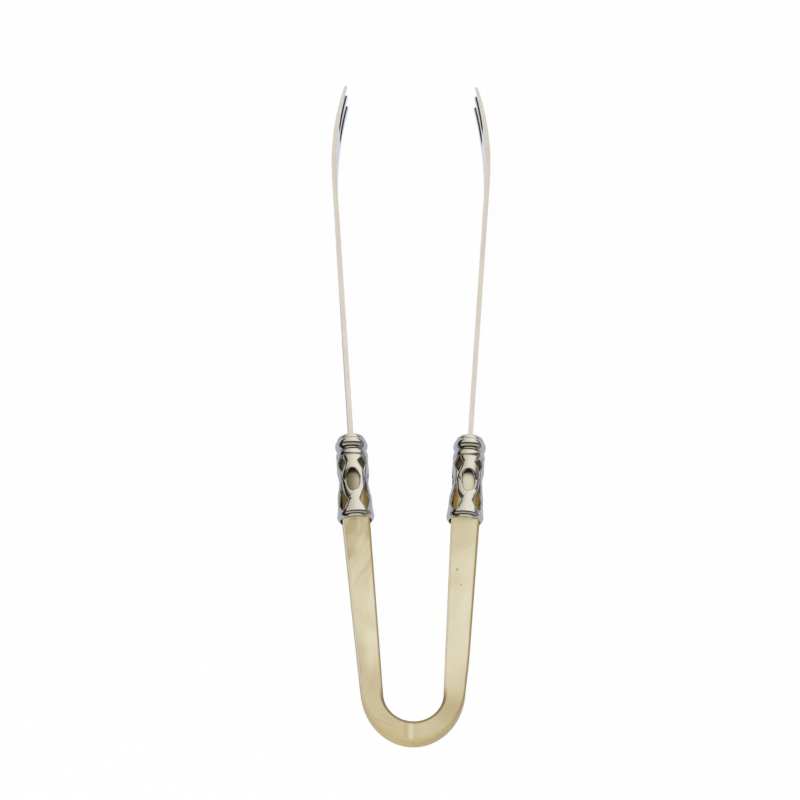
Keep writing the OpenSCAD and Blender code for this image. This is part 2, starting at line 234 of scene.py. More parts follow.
class Signal:
    """A socket of a node tree. Sums on signals and numbers add Math nodes."""

    def __init__(self, tree, socket):
        self.tree = tree
        self.socket = socket

    def node(self, kind, settings=None, inputs=None, output=0):
        """Adds any other node: its settings first, then the values and links of its sockets."""
        made = self.tree.nodes.new(kind)
        for name, value in (settings or {}).items():
            setattr(made, name, value)
        self.fill(made, inputs or {})
        return Signal(self.tree, made.outputs[output])

    def fill(self, node, inputs):
        """Sets or links the named sockets of a node."""
        for name, value in inputs.items():
            if isinstance(value, Signal):
                self.tree.links.new(value.socket, node.inputs[name])
            else:
                node.inputs[name].default_value = value

    def sum(self, operation, first, second=0.0):
        """A Math node on one or two signals or numbers."""
        return self.node("ShaderNodeMath", {"operation": operation}, {0: first, 1: second})

    def __add__(self, other):
        return self.sum("ADD", self, other)

    def __sub__(self, other):
        return self.sum("SUBTRACT", self, other)

    def __rsub__(self, other):
        return self.sum("SUBTRACT", other, self)

    def __mul__(self, other):
        return self.sum("MULTIPLY", self, other)

    __radd__ = __add__
    __rmul__ = __mul__

    def ease(self, low, high):
        """A smooth step from 0 at low to 1 at high."""
        return self.node("ShaderNodeMapRange", {"interpolation_type": "SMOOTHSTEP"},
                         {"Value": self, "From Min": low, "From Max": high})

    def tint(self, first, second):
        """A colour between two others, with this signal as the share of the second."""
        return self.node("ShaderNodeMix", {"data_type": "RGBA"}, {0: self, 6: first, 7: second}, output=2)

    def noise(self, place, scale, detail=2.0, roughness=0.5, output=0):
        """Soft noise at a place, as a value or, from output 1, as a colour."""
        inputs = {"Vector": place, "Scale": scale, "Detail": detail, "Roughness": roughness}
        return self.node("ShaderNodeTexNoise", None, inputs, output)

    def mapped(self, turn=(0, 0, 0), scale=(1, 1, 1)):
        """This signal as a vector, scaled, then turned."""
        return self.node("ShaderNodeMapping", None, {"Vector": self, "Rotation": turn, "Scale": scale})

    def axes(self, names):
        """The named parts of this signal as a vector."""
        return [self.node("ShaderNodeSeparateXYZ", None, {"Vector": self}, output=name) for name in names]

    def marked(self, name):
        """A mark that the mesh carries, as a value."""
        return self.node("ShaderNodeAttribute", {"attribute_name": name}, output="Fac")

    def bump(self, height, strength, distance):
        """A Normal that is roughened a little by a height."""
        return self.node("ShaderNodeBump", None,
                         {"Strength": strength, "Distance": distance, "Height": height})


def colour(red, green, blue):
    """A screen colour as the linear one that a shader takes."""
    parts = [value / 255 for value in (red, green, blue)]
    return tuple(p / 12.92 if p <= 0.04045 else ((p + 0.055) / 1.055) ** 2.4 for p in parts) + (1.0,)


def new_material(name):
    """A material with its shader and its Object coordinates, in millimetres."""
    material = bpy.data.materials.new(name)
    material.use_nodes = True
    tree = material.node_tree
    metres = Signal(tree, tree.nodes.new("ShaderNodeTexCoord").outputs["Object"])
    place = metres.mapped(scale=(1 / MM, 1 / MM, 1 / MM))
    return material, tree.nodes["Principled BSDF"], place


SILK = colour(233, 229, 212)
CREAM = colour(227, 221, 200)
BEIGE = colour(216, 207, 180)
SAND = colour(203, 191, 156)
TAN = colour(190, 174, 136)
FLECK_BROWN = colour(120, 98, 60)
AMBER = colour(218, 193, 131)
PALE_AMBER = colour(229, 209, 153)
# Painted light and shade on the edges: a pale highlight, a honey shade and a brown shade inside the bend
PALE_EDGE_HIGHLIGHT = colour(242, 237, 224)
HONEY_SHADE = colour(180, 155, 98)
UMBER_SHADE = colour(126, 99, 54)
EYE_GREY = colour(222, 219, 206)
# Painted shade on the ends of the limbs inside the ferrules
GOLD_SHADE = colour(150, 122, 60)
DIM_GOLD_SHADE = colour(92, 82, 54)
TIP_SHADE_BROWN = colour(84, 68, 42)
DRIFT = 16.0
STREAK_TURN = math.radians(32)
FAN_FOOT = (-1.8, -121.5)
FAN_RAYS = 4
# Marks on the front: where each lies, how far it is plain and how far it fades, and its share
FLECKS = ((16.7, -59.4, 0.16, 0.4, 0.9), (16.4, -59.9, 0.12, 0.4, 0.7), (18.0, -65.5, 0.12, 0.42, 0.7))
CLOUDS = ((14.5, -113.5, 1, 9, 0.75), (-15.5, -103.0, 1, 9, 0.4), (-19.5, -47.0, 3, 14, 0.35),
          (17.5, -63.0, 1, 4, 0.12))
GLOWS = ((18.2, -58.5, 2, 10, 0.6), (16.6, -90.0, 2, 14, 0.35), (-16.2, -71.0, 2, 8, 0.4),
         (-17.1, -50.5, 0.5, 5, 0.7), (-12.6, -86.5, 1, 6, 0.8))


def pearl_acrylic():
    """Cream pearl in soft streaks on the faces of the sheet, amber and brown on its cut sides."""
    material, shader, place = new_material("pearl_acrylic")
    x, y = place.axes("XY")
    cut, facing_shade, sunk, brink = (place.marked(name) for name in ("cut", "facing_shade", "sunk", "brink"))
    drift = place.noise(place, 0.035, detail=1.0, output=1)
    pushed = place.node("ShaderNodeVectorMath", {"operation": "MULTIPLY_ADD"},
                        {0: drift, 1: (DRIFT, DRIFT, DRIFT), 2: place})
    along = place.noise(pushed.mapped(scale=(0.11, 0.02, 0.1)), 1.0, detail=2.0, roughness=0.45)
    pearl = along.ease(0.34, 0.52).tint(BEIGE, CREAM)
    pearl = along.ease(0.5, 0.66).tint(pearl, SILK)
    # Slanting streaks near the top, strong on the left limb and faint on the right
    slant = pushed.mapped(turn=(0, 0, STREAK_TURN)).mapped(scale=(0.34, 0.05, 0.1))
    streak = place.noise(slant, 1.0, detail=2.5, roughness=0.5)
    high = y.ease(-71, -50)
    leftward = (0 - x).ease(-4, 20)
    pearl = (streak.ease(0.42, 0.62) * high * (0.16 + 0.69 * leftward)).tint(pearl, TAN)
    low = 1 - y.ease(-119, -90)
    pearl = (0.75 * low).tint(pearl, SAND)
    # The outer side of the left limb is duller, most of all near its two ends
    slope = math.tan(LIMB_LEAN + LIMB_SKEW)
    off = x + slope * y - (flex[-1].x + slope * flex[-1].y)
    outer = 1 - off.ease(-3.0, 1.2)
    upper, lower = y.ease(-62, -51), 1 - y.ease(-92, -80)
    bare = y.ease(-104, -97) * (1 - y.ease(-41, -38))
    pearl = ((0.12 + 0.43 * upper + 0.48 * lower) * outer * bare).tint(pearl, TAN)
    # Rays fan out at the bottom of the bend, beside a pale line and a brown one
    bottom = 1 - y.ease(-117.5, -114.5)
    ray = x.sum("ARCTAN2", x - FAN_FOOT[0], y - FAN_FOOT[1])
    fan = place.noise(place.node("ShaderNodeCombineXYZ", None, {"X": FAN_RAYS * ray}), 1.0, detail=1.0)
    pearl = (fan.ease(0.38, 0.68) * bottom * (1 - x.ease(-2, 5)) * 0.42).tint(pearl, TAN)
    pearl = (x.ease(-0.8, -0.1) * (1 - x.ease(0.5, 1.6)) * bottom * 0.6).tint(pearl, SILK)
    pearl = (x.ease(-2.6, -2.0) * (1 - x.ease(-1.5, -0.9)) * bottom * 0.5).tint(pearl, TAN)
    for marks, shade in ((GLOWS, SILK), (CLOUDS, TAN), (FLECKS, FLECK_BROWN)):
        for spot_x, spot_y, plain, fade, share in marks:
            away = place.node("ShaderNodeVectorMath", {"operation": "DISTANCE"},
                              {0: place, 1: (spot_x, spot_y, bend_high.z)}, output="Value")
            pearl = (share * (1 - away.ease(plain, fade))).tint(pearl, shade)
    # The sheet's cut sides are amber, with a painted highlight on edges that face left, painted
    # honey shade on those that face right and a painted brown shade line inside the bend
    layers = place.noise(place.mapped(scale=(0.05, 0.05, 0.9)), 1.0, detail=3.0)
    amber = layers.ease(0.3, 0.7).tint(AMBER, PALE_AMBER)
    straight = y.ease(-112, -98)
    rounded = 1 - cut.ease(0.6, 0.95)
    edge = (straight * rounded * (1 - facing_shade.ease(0.0, 0.5))).tint(amber, PALE_EDGE_HIGHLIGHT)
    edge = (rounded * facing_shade.ease(0.5, 1.0)).tint(edge, HONEY_SHADE)
    pearl = (cut + 0.24 * facing_shade).ease(0.25, 0.46).tint(pearl, edge)
    inside_bend = (1 - y.ease(-110.5, -103.5)) * brink.ease(0.4, 1.0)
    pearl = (0.85 * inside_bend * rounded).tint(pearl, UMBER_SHADE)
    # The ends in the ferrules: greyer in the eyes, then painted shade where the sleeve shades them:
    # gold in the side openings, dimmer on the far left and brown at the tip
    held = y.ease(-39, -37)
    pearl = (0.6 * held).tint(pearl, EYE_GREY)
    pearl = sunk.ease(0.36, 0.72).tint(pearl, GOLD_SHADE)
    far_left = (0 - x).ease(17.6, 21.8)
    pearl = (0.85 * held * far_left).tint(pearl, DIM_GOLD_SHADE)
    tip = y.ease(-23.4, -21.2)
    pearl = (0.85 * tip).tint(pearl, TIP_SHADE_BROWN)
    relief = place.bump(place.noise(place, 6.0, detail=2.0), strength=0.03, distance=0.0002)
    place.fill(shader, {
        "Base Color": pearl,
        "Roughness": 0.32 + 0.12 * along + 0.3 * held,
        "Normal": relief,
        "Coat Weight": (0.6 - 0.4 * cut) * (1 - held),
        "Coat Roughness": 0.08,
    })
    return material


acrylic = pearl_acrylic()
for name, side in SIDES.items():
    half = piece(f"{name}_handle_half", handle_half(side), acrylic)
    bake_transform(half)
    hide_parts("handle_bend", f"{name}_limb")

# Arms and forks
# Two strips of stainless steel, blanked and ground. Each narrows to a tang in the handle
# at one end, and flares at the other into a head with three tines that curve inwards.
STRIP_T = 1.7
TIP_T = 0.9
TANG_W = 5.0
ARM_W = 7.0
TINE_PITCH = 9.7
TINE_W = 3.6
TINE_TIP_R = 1.0
TINE_LEN = 15.0
HEAD_LEN = 3.0
FLARE_LEN = 50.0
FORK_LEN = 36.8
FORK_CURVE_R = 104.0
TANG_FOOT = 3.5
SHOULDER = SPIGOT_LEN + 0.3
SHOULDER_STEP = 0.4
SLEEVE_LEN = 26.5
CAP_H = 6.1
CROWN = SLEEVE_LEN + CAP_H
ARM_LEN = 95.4
STRIP_EDGE_R = 0.28
TINE_COLUMNS = 4
SLOT_COLUMNS = 10
FLARE_ROWS = 16
ROOT_ROWS = 6
TINE_ROWS = 14
SLOT_MARK = 0.2
SLOT_WELD = 0.01
STRIP_RIM_ANGLE = 1.0
ARM_TWIST = {-1: math.radians(3), 1: 0}
STEEL = colour(227, 223, 218)
BRIGHT_STEEL = colour(241, 237, 233)
# Painted light and shade: a cool reflection and dark shade in the slots, brown shade on the hidden tang
COOL_REFLECTION = colour(222, 226, 238)
SLOT_SHADE = colour(52, 44, 38)
TANG_SHADE_BROWN = colour(58, 46, 30)

curve_start = CROWN + ARM_LEN
tine_end = curve_start + FORK_LEN
slot_r = (TINE_PITCH - TINE_W) / 2
tine_foot = tine_end - TINE_LEN + slot_r
head_foot = tine_end - TINE_LEN - HEAD_LEN
flare_foot = head_foot - FLARE_LEN
head_half_w = TINE_PITCH + TINE_W / 2
inner_curve_r = 1 / (1 / FORK_CURVE_R - 2 * (STRIP_T - TIP_T) / FORK_LEN ** 2)

# Stations along the plain strip, each with its half width, up to the foot of the head
strip_rows = [(TANG_FOOT, TANG_W / 2), (SHOULDER - SHOULDER_STEP, TANG_W / 2), (SHOULDER, ARM_W / 2),
              (CROWN, ARM_W / 2), ((CROWN + flare_foot) / 2, ARM_W / 2)]
for row in range(FLARE_ROWS + 1):
    t = row / FLARE_ROWS
    strip_rows.append((flare_foot + t * FLARE_LEN, ARM_W / 2 + (head_half_w - ARM_W / 2) * smooth(t)))

# Columns across the head: its three tines and the two slots between them
head_columns = []
for zone in range(5):
    count = SLOT_COLUMNS if zone % 2 else TINE_COLUMNS
    half = slot_r if zone % 2 else TINE_W / 2
    middle = (zone - 2) * TINE_PITCH / 2
    head_columns += [(zone, middle, -1 + 2 * i / count, half) for i in range(count)]
head_columns.append((4, TINE_PITCH, 1, TINE_W / 2))


def fork_outline(row, column):
    """Where a grid point of the flat blank lies: along the strip and across it."""
    zone, middle, share, half = head_columns[column]
    across = middle + share * half
    if row < len(strip_rows):
        along, half_w = strip_rows[row]
        return along, across * half_w / head_half_w
    step = row - len(strip_rows) + 1
    if step <= ROOT_ROWS:
        top = tine_foot
        if zone % 2:
            top -= slot_r * math.sqrt(max(1 - share ** 2, 0))
        return head_foot + (top - head_foot) * step / ROOT_ROWS, across
    t = (step - ROOT_ROWS) / TINE_ROWS
    end = tine_end - TINE_TIP_R + TINE_TIP_R * math.sqrt(max(1 - share ** 2, 0))
    return tine_foot + (end - tine_foot) * t, middle + share * (half + (TINE_TIP_R - half) * t)


def curl(out, along):
    """How far out a point of the flat strip lies once the fork is curved and ground thin."""
    past = max(along - curve_start, 0)
    outer = STRIP_T / 2 - FORK_CURVE_R + math.sqrt(FORK_CURVE_R ** 2 - past ** 2)
    inner = -STRIP_T / 2 - inner_curve_r + math.sqrt(inner_curve_r ** 2 - past ** 2)
    return inner + (outer - inner) * (out + STRIP_T / 2) / STRIP_T


def ease_rim(bm, least_angle, radius):
    """Rounds the edges of a plate that turn by more than an angle."""
    rim = [edge for edge in bm.edges if len(edge.link_faces) == 2 and edge.calc_face_angle() > least_angle]
    bmesh.ops.bevel(bm, geom=rim, offset=radius, offset_type="OFFSET", segments=2, profile=0.5,
                    affect="EDGES", material=-1, clamp_overlap=True)


def fork(side):
    """A flat blank with its slots cut, given its thickness and eased edges, then curved and twisted.

    The walls of the slots are marked, from a half at the outer face to 1 at the inner one."""
    bm = bmesh.new()
    rows = len(strip_rows) + ROOT_ROWS + TINE_ROWS - 1
    columns = len(head_columns) - 1
    bmesh.ops.create_grid(bm, x_segments=columns, y_segments=rows, size=1)
    waste = []
    for face in bm.faces:
        middle = face.calc_center_median()
        row, column = (middle.y + 1) / 2 * rows, (middle.x + 1) / 2 * columns
        if row > len(strip_rows) - 1 + ROOT_ROWS and head_columns[int(column)][0] % 2:
            waste.append(face)
    for vert in bm.verts:
        row, column = round((vert.co.y + 1) / 2 * rows), round((vert.co.x + 1) / 2 * columns)
        along, across = fork_outline(row, column)
        vert.co = (across, along, STRIP_T / 2)
    bmesh.ops.delete(bm, geom=waste, context="FACES")
    bmesh.ops.remove_doubles(bm, verts=bm.verts, dist=SLOT_WELD)
    bmesh.ops.solidify(bm, geom=bm.faces[:], thickness=STRIP_T)
    ease_rim(bm, STRIP_RIM_ANGLE, STRIP_EDGE_R)
    slot = bm.verts.layers.float.new("slot")
    for vert in bm.verts:
        across, along, out = vert.co
        tine_half = TINE_W / 2 + (TINE_TIP_R - TINE_W / 2) * max(along - tine_foot, 0) / TINE_LEN
        beside = TINE_PITCH / 2 - tine_half + SLOT_MARK - abs(abs(across) - TINE_PITCH / 2)
        if along > tine_foot - slot_r - SLOT_MARK and beside > 0:
            vert[slot] = 0.75 - 0.5 * out / STRIP_T
        twist = ARM_TWIST[side] * smooth((along - CROWN) / (head_foot - CROWN))
        out = curl(out, along) + across * math.sin(twist)
        vert.co = arm_point(side, out, along, across * math.cos(twist))
    return bm


def stainless():
    """Bright steel, ground along its length. It is satin on its narrow edges, dull and painted a dark
    brown shade inside the ferrules, and in the slots painted with shade on the inner half and a cool
    reflection on the outer."""
    material, shader, place = new_material("stainless")
    grain = place.noise(place.mapped(scale=(6, 0.12, 6)), 1.0, detail=3.0, roughness=0.6)
    cloud = place.noise(place, 0.12, detail=3.0)
    tone = (0.6 * grain + 0.4 * cloud).ease(0.3, 0.7)
    slot = place.marked("slot")
    (upward,) = place.node("ShaderNodeTexCoord", output="Normal").axes("Z")
    satin = upward.sum("ABSOLUTE", upward).ease(0.45, 0.8)
    (y,) = place.axes("Y")
    shown = y.ease(-14, -11)
    bright = slot.ease(0.2, 0.45).tint(tone.tint(STEEL, BRIGHT_STEEL), COOL_REFLECTION)
    bright = shown.tint(TANG_SHADE_BROWN, bright)
    place.fill(shader, {
        "Base Color": slot.ease(0.66, 0.8).tint(bright, SLOT_SHADE),
        "Metallic": shown * (1 - 0.85 * satin),
        "Roughness": 0.5 - 0.3 * shown + 0.16 * grain + 0.1 * satin,
        "Normal": place.bump(grain, strength=0.12, distance=0.00005),
    })
    return material


steel = stainless()
for name, side in SIDES.items():
    blade = piece(f"{name}_fork_strip", fork(side), steel)
    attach(blade, f"{name}_arm")
    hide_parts(f"{name}_fork")

# Cross pins
# A short steel pin goes through each limb and the tang inside it, and locks the arm.
# The ferrule hides it once it is pushed home.
for name in SIDES:
    pin = frame["nodes"][f"{name}_tang_pin"]
    pin.material_slots[0].material = steel

# Ferrules
# Each is a silver-plated casting: a beaded rim and a ringed collar, joined by four
# leafy straps that weave round open eyes. Both are the same casting, not a mirrored pair.
MOTIFS = 4
STRAP_T = 0.8
LEFT_COLUMNS = (0, 0.02, 0.045, 0.075, 0.11, 0.16, 0.24, 0.36)
STRAP_ACROSS = LEFT_COLUMNS + (0.5,) + tuple(1 - share for share in reversed(LEFT_COLUMNS))
STRAP_STEPS = 5
ROLL_EASE = 0.24
ROLL_POWER = 1.25
ROLL_LIP = 0.08
LIP_POWER = 9
ROLL_MOST = 0.45
ROLL_LEAST = 0.001
STRAP_WELD = 0.05
STRAP_EDGE_R = 0.12
STRAP_RIM_ANGLE = 0.9
TURN_STEPS = 96
SILVER = colour(228, 226, 221)
# Tarnish in the recesses, with painted shade there too
TARNISH_AND_SHADE = colour(94, 76, 50)
BLACK_TARNISH_AND_SHADE = colour(30, 24, 18)

# A strap is given by rows: the turn in degrees and the height of its left and right
# edges, how wide each edge rolls over, and how far the row is lifted. The main strap
# rises from the rim, passes to the right of the eye and ends as half of the neck.
MAIN_STRAP = (
    (-46.0, 1.90, 0.00, 44.0, 1.90, 0.00, 0.375),
    (-46.0, 2.60, 0.00, 44.0, 2.60, 0.00, 0.32),
    (-38.0, 3.60, 1.40, 34.0, 3.85, 0.45, 0.20),
    (-30.0, 5.20, 1.40, 24.3, 5.20, 0.45, 0.10),
    (-24.0, 6.20, 1.40, 18.5, 6.20, 0.45, 0.05),
    (-19.0, 7.20, 0.80, 23.8, 7.80, 0.45, 0.06),
    (-12.0, 8.20, 0.40, 28.8, 9.30, 0.45, 0.06),
    (-3.0, 9.55, 0.15, 34.3, 10.50, 0.45, 0.04),
    (10.0, 10.20, 0.35, 40.0, 11.80, 0.45, 0.00),
    (20.0, 11.60, 0.40, 43.5, 13.00, 0.45, 0.00),
    (25.5, 13.30, 0.40, 44.5, 14.50, 0.45, 0.00),
    (26.8, 14.60, 0.40, 44.5, 15.80, 0.45, 0.00),
    (22.5, 15.90, 0.40, 44.5, 17.20, 0.45, 0.00),
    (14.0, 17.60, 0.40, 43.5, 18.20, 0.45, 0.00),
    (5.0, 18.65, 0.40, 38.0, 18.80, 0.45, 0.00),
    (-2.0, 18.95, 0.00, 31.0, 19.70, 0.45, 0.00),
    (-2.0, 20.00, 0.00, 23.5, 20.80, 0.45, 0.00),
    (-2.0, 21.30, 0.00, 20.8, 21.40, 0.45, 0.00),
    (-2.0, 22.60, 0.00, 30.0, 22.40, 0.45, 0.00),
    (-2.0, 23.85, 0.00, 45.0, 23.85, 0.45, 0.00),
)
# The thin strap is the other half of the neck and passes down the left of the eye.
THIN_STRAP = (
    (-45.0, 23.85, 2.40, -2.0, 23.85, 0.00, 0.00),
    (-37.0, 22.60, 1.80, -2.0, 22.60, 0.00, 0.00),
    (-27.0, 21.30, 1.40, -2.0, 21.30, 0.00, 0.00),
    (-31.0, 20.40, 1.40, -2.0, 20.00, 0.00, 0.00),
    (-37.0, 19.50, 1.40, -2.0, 18.95, 0.00, 0.00),
    (-41.0, 18.70, 1.40, -9.0, 18.70, 0.40, 0.00),
    (-44.0, 18.00, 1.40, -16.0, 18.10, 0.40, 0.00),
    (-48.0, 17.00, 1.00, -25.0, 16.70, 0.40, -0.02),
    (-46.0, 15.90, 0.40, -27.0, 14.80, 0.40, -0.08),
    (-38.0, 14.90, 0.40, -26.5, 14.00, 0.30, -0.15),
    (-31.0, 13.80, 0.20, -25.0, 13.00, 0.20, -0.30),
)
# The leaf springs from under the waist of the main strap and ends in a free point.
LEAF = (
    (-8.0, 5.60, 0.30, 12.0, 8.60, 0.20, -0.30),
    (-16.0, 6.30, 0.60, 5.0, 9.30, 0.20, -0.12),
    (-23.0, 6.90, 1.40, -3.0, 9.75, 0.35, -0.03),
    (-31.0, 7.90, 1.40, -11.0, 9.95, 0.40, -0.02),
    (-38.0, 9.10, 1.40, -18.0, 10.70, 0.40, 0.00),
    (-43.5, 10.40, 1.40, -23.5, 12.00, 0.40, 0.02),
    (-46.5, 11.70, 1.40, -27.0, 13.40, 0.35, 0.05),
    (-48.0, 13.30, 0.90, -33.0, 14.40, 0.30, 0.06),
    (-49.0, 14.80, 0.60, -41.0, 15.20, 0.30, 0.06),
    (-49.2, 15.90, 0.20, -48.6, 16.00, 0.20, 0.04),
)


def glide(values, t):
    """A smooth curve through evenly spaced values that never overshoots them."""
    first = min(int(t), len(values) - 2)
    steps = [b - a for a, b in zip(values, values[1:])]

    def slope(i):
        before, after = steps[max(i - 1, 0)], steps[min(i, len(steps) - 1)]
        return 0 if before * after <= 0 else 2 * before * after / (before + after)

    f = t - first
    return (values[first] + smooth(f) * steps[first] + f * (1 - f) ** 2 * slope(first)
            - f * f * (1 - f) * slope(first + 1))


def ferrule_point(turn, height, radius):
    """A place on a ferrule: turned from its front, above its rim and out from its axis."""
    return Vector((radius * math.sin(turn), height, radius * math.cos(turn)))


def strap_sheet(bm, rows, motif):
    """One strap as an open sheet that follows the round of the sleeve, with rolled edges."""
    columns = list(zip(*rows))
    spans, last = len(STRAP_ACROSS) - 1, len(rows) - 1
    grid = bmesh.ops.create_grid(bm, x_segments=spans, y_segments=STRAP_STEPS * last, size=1)
    for vert in grid["verts"]:
        share = STRAP_ACROSS[round((vert.co.x + 1) / 2 * spans)]
        t = (vert.co.y + 1) / 2 * last
        left, left_h, left_roll, right, right_h, right_roll, lift = (glide(column, t) for column in columns)
        turn = math.radians(left + (right - left) * share + 360 * motif / MOTIFS)
        height = left_h + (right_h - left_h) * share
        width = math.hypot(math.radians(right - left) * sleeve_r(height), right_h - left_h)
        drop = 0
        for roll, away in ((left_roll, share * width), (right_roll, (1 - share) * width)):
            roll = max(min(roll, ROLL_MOST * width), ROLL_LEAST)
            over = max(1 - away / roll, 0)
            drop += roll * (ROLL_EASE * over ** ROLL_POWER + ROLL_LIP * over ** LIP_POWER)
        vert.co = ferrule_point(turn, height, sleeve_r(height) + lift - drop)


def solid_straps(sheets):
    """Straps of one motif after another, welded where they share an edge and given a wall.

    The inside of the wall is marked as a recess."""
    bm = bmesh.new()
    for motif in range(MOTIFS):
        for rows in sheets:
            strap_sheet(bm, rows, motif)
    bmesh.ops.remove_doubles(bm, verts=bm.verts, dist=STRAP_WELD)
    for face in bm.faces:
        middle = face.calc_center_median()
        if face.normal.dot(Vector((middle.x, 0, middle.z))) < 0:
            face.normal_flip()
    recess = bm.verts.layers.float.new("recess")
    raised = bmesh.ops.extrude_face_region(bm, geom=bm.faces[:], use_keep_orig=True)
    outside = {item for item in raised["geom"] if isinstance(item, bmesh.types.BMVert)}
    for vert in set(bm.verts) - outside:
        inwards = 1 - STRAP_T / math.hypot(vert.co.x, vert.co.z)
        vert.co = (vert.co.x * inwards, vert.co.y, vert.co.z * inwards)
        vert[recess] = 1
    ease_rim(bm, STRAP_RIM_ANGLE, STRAP_EDGE_R)
    return bm


def bead(radius, height, wide, tall, start, end, count=12):
    """Points of a rounded moulding, from one angle of its round to another in degrees."""
    angles = [math.radians(start + (end - start) * i / count) for i in range(count + 1)]
    return [(radius + wide * math.cos(a), height + tall * math.sin(a)) for a in angles]


def lathe(bm, profile, closed):
    """Turns a profile of radii and heights round the axis of the ferrule."""
    verts = [bm.verts.new((radius, height, 0)) for radius, height in profile]
    ends = verts[1:] + verts[:1] if closed else verts[1:]
    edges = [bm.edges.new(pair) for pair in zip(verts, ends)]
    bmesh.ops.spin(bm, geom=verts + edges, cent=(0, 0, 0), axis=(0, 1, 0), angle=2 * math.pi,
                   steps=TURN_STEPS, use_merge=True, use_duplicate=False)


# Profiles of the rim and the collar, as radii and heights
RIM_RING = [(5.4, 2.5), (5.4, 0.45), (5.55, 0.27)] + bead(4.42, 2.0, 2.2, 2.2, -55, 0) + [(6.3, 2.4)]
COLLAR_RING = [(4.6, 23.0), (5.3, 23.0), (5.3, 24.0)] + bead(5.4, 24.3, 0.28, 0.28, -90, 0)
COLLAR_RING += [(5.7, 24.8)] + bead(4.9, 25.3, 0.78, 1.15, 0, 90) + [(4.6, SLEEVE_LEN)]
# Turned grooves, dark with tarnish and painted shade: the height of each and half its width
GROOVES = ((26.5, 0.15), (30.8, 0.12))
# The plug of a cap shows in the openings, with tarnish and painted shade: how far in it starts to dull and
# is dullest
PLUG_DEEP = (0.6, 0.85)
PLUG_MARK = 0.65
FERRULE_TURN = {-1: math.radians(-3), 1: math.radians(5.5)}


def mark_tarnish_and_shade(bm, inside_r):
    """Marks the recesses of a casting for tarnish and painted shade: its grooves and what lies inside a
    radius.
    """
    layer = bm.verts.layers.float.get("recess") or bm.verts.layers.float.new("recess")
    for vert in bm.verts:
        height, radius = vert.co.y, math.hypot(vert.co.x, vert.co.z)
        marks = [vert[layer]] + [1 - abs(height - middle) / half for middle, half in GROOVES]
        shallow, deep = PLUG_DEEP
        marks.append(PLUG_MARK * min((inside_r(height) - radius - shallow) / (deep - shallow), 1))
        vert[layer] = max(*marks, 0)


def place_ferrule(bm, side):
    """Carries a mesh from the ferrule's own axis to its arm, unmirrored on both."""
    bmesh.ops.rotate(bm, verts=bm.verts, matrix=Matrix.Rotation(FERRULE_TURN[side], 3, "Y"))
    for vert in bm.verts:
        vert.co = arm_point(side, side * vert.co.x, vert.co.y, vert.co.z)


def merge(bm, other):
    """Adds the mesh of another bmesh to this one."""
    mesh = bpy.data.meshes.new("part")
    other.to_mesh(mesh)
    other.free()
    bm.from_mesh(mesh)
    bpy.data.meshes.remove(mesh)


def sleeve(side):
    """The whole casting of one ferrule: straps, leaves, rim and collar."""
    bm = bmesh.new()
    merge(bm, solid_straps([MAIN_STRAP, THIN_STRAP]))
    merge(bm, solid_straps([LEAF]))
    lathe(bm, RIM_RING, closed=True)
    lathe(bm, COLLAR_RING, closed=True)
    mark_tarnish_and_shade(bm, lambda height: 0)
    place_ferrule(bm, side)
    return bm


def silver_plate():
    """Polished silver with fine hairlines, dark in its recesses with tarnish and painted shade."""
    material, shader, place = new_material("silver_plate")
    recess = place.marked("recess")
    smudge = place.noise(place, 0.5, detail=4.0, roughness=0.6)
    hairline = place.noise(place.mapped(turn=(0, 0, 0.5), scale=(14, 1.2, 14)), 1.0, detail=2.0)
    dark = (recess + 0.2 * (smudge - 0.5)).ease(0.2, 0.6)
    tarnish_and_shade = recess.ease(0.7, 0.95).tint(TARNISH_AND_SHADE, BLACK_TARNISH_AND_SHADE)
    place.fill(shader, {
        "Base Color": dark.tint(SILVER, tarnish_and_shade),
        "Metallic": 1 - dark,
        "Roughness": 0.03 + 0.04 * smudge + 0.3 * dark,
        "Normal": place.bump(hairline, strength=0.06, distance=0.00004),
    })
    return material


silver = silver_plate()
for name, side in SIDES.items():
    casting = piece(f"{name}_sleeve_casting", sleeve(side), silver)
    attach(casting, f"{name}_arm")
    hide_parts(f"{name}_sleeve")

# Caps
# A turned, domed cap with a bead closes the top of each sleeve. Its plug fills the
# collar, and the arm comes out through its crown.
PLUG_R = 4.51
PLUG_DEPTH = 6.8
BEAD_FOOT_R = 5.0
BEAD_H = 4.28
DOME_H = 6.25
CROWN_R = 3.2
PLUG_TOP = SLEEVE_LEN - 0.1
CAP_PROFILE = [(0, DOME_H)] + bead(CROWN_R, BEAD_H, BEAD_FOOT_R - CROWN_R, DOME_H - BEAD_H, 90, 0, count=14)
CAP_PROFILE += bead(2.8, 2.43, 3.0, 3.0, 38, -51)
CAP_PROFILE += [(PLUG_R, 0), (PLUG_R, -PLUG_DEPTH), (0, -PLUG_DEPTH)]


def cap(side):
    """One cap with its plug, turned from its profile."""
    bm = bmesh.new()
    lathe(bm, [(radius, SLEEVE_LEN + height) for radius, height in CAP_PROFILE], closed=False)
    mark_tarnish_and_shade(bm, lambda height: SLEEVE_TOP_R if height < PLUG_TOP else 0)
    place_ferrule(bm, side)
    return bm


for name, side in SIDES.items():
    turned = piece(f"{name}_turned_cap", cap(side), silver)
    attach(turned, f"{name}_arm")
    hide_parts(f"{name}_cap")

# Studio
# A white table in a plain room of light and dark bands, which the silver shows, under
# one wide cream light. The table leans a little, so that the tongs lie on it at their
# bend and their forks.
TABLE_HALF = 20.0
TABLE_GAP = 0.05
FORK_REST_Y = 110.0
TABLE_WHITE = colour(245, 246, 250)
TABLE_GLOSS = colour(186, 189, 204)
TABLE_FAR = colour(54, 52, 54)
TABLE_UNDER_FORKS = colour(232, 236, 252)
TABLE_GLOW = 0.97
TABLE_MIRROR = 0.9
WHITE = (1.0, 1.0, 1.0, 1.0)


